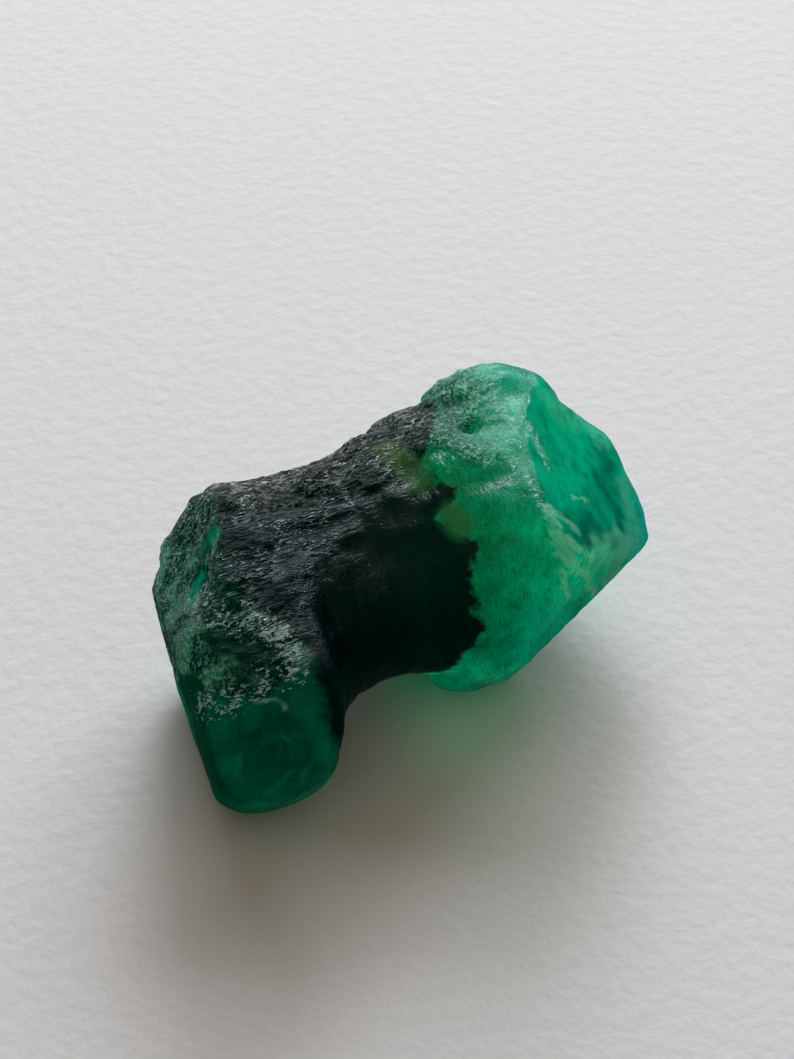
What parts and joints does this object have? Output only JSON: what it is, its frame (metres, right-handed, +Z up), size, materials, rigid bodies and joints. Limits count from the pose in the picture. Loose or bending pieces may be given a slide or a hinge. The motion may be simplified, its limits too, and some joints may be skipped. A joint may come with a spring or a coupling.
{
  "type": "raw emerald crystal",
  "caption": "Rough elongated emerald crystal: a blocky foot and a faceted head joined by a dark waisted neck, resting on two flat patches.",
  "frame": {"origin": "centre of the stone's box in plan, in the plane it rests on", "axes": "+X along the stone from the foot to the head, +Z up from the surface it rests on, +Y towards its unseen back"},
  "size_m": [0.0228, 0.0128, 0.0114],
  "materials": {
    "emerald": "vitreous on the flat faces, frosted and etched elsewhere, translucent green with a black zone at the neck"
  },
  "bodies": {
    "root": {"emerald_crystal": "emerald"}
  },
  "joints": []
}
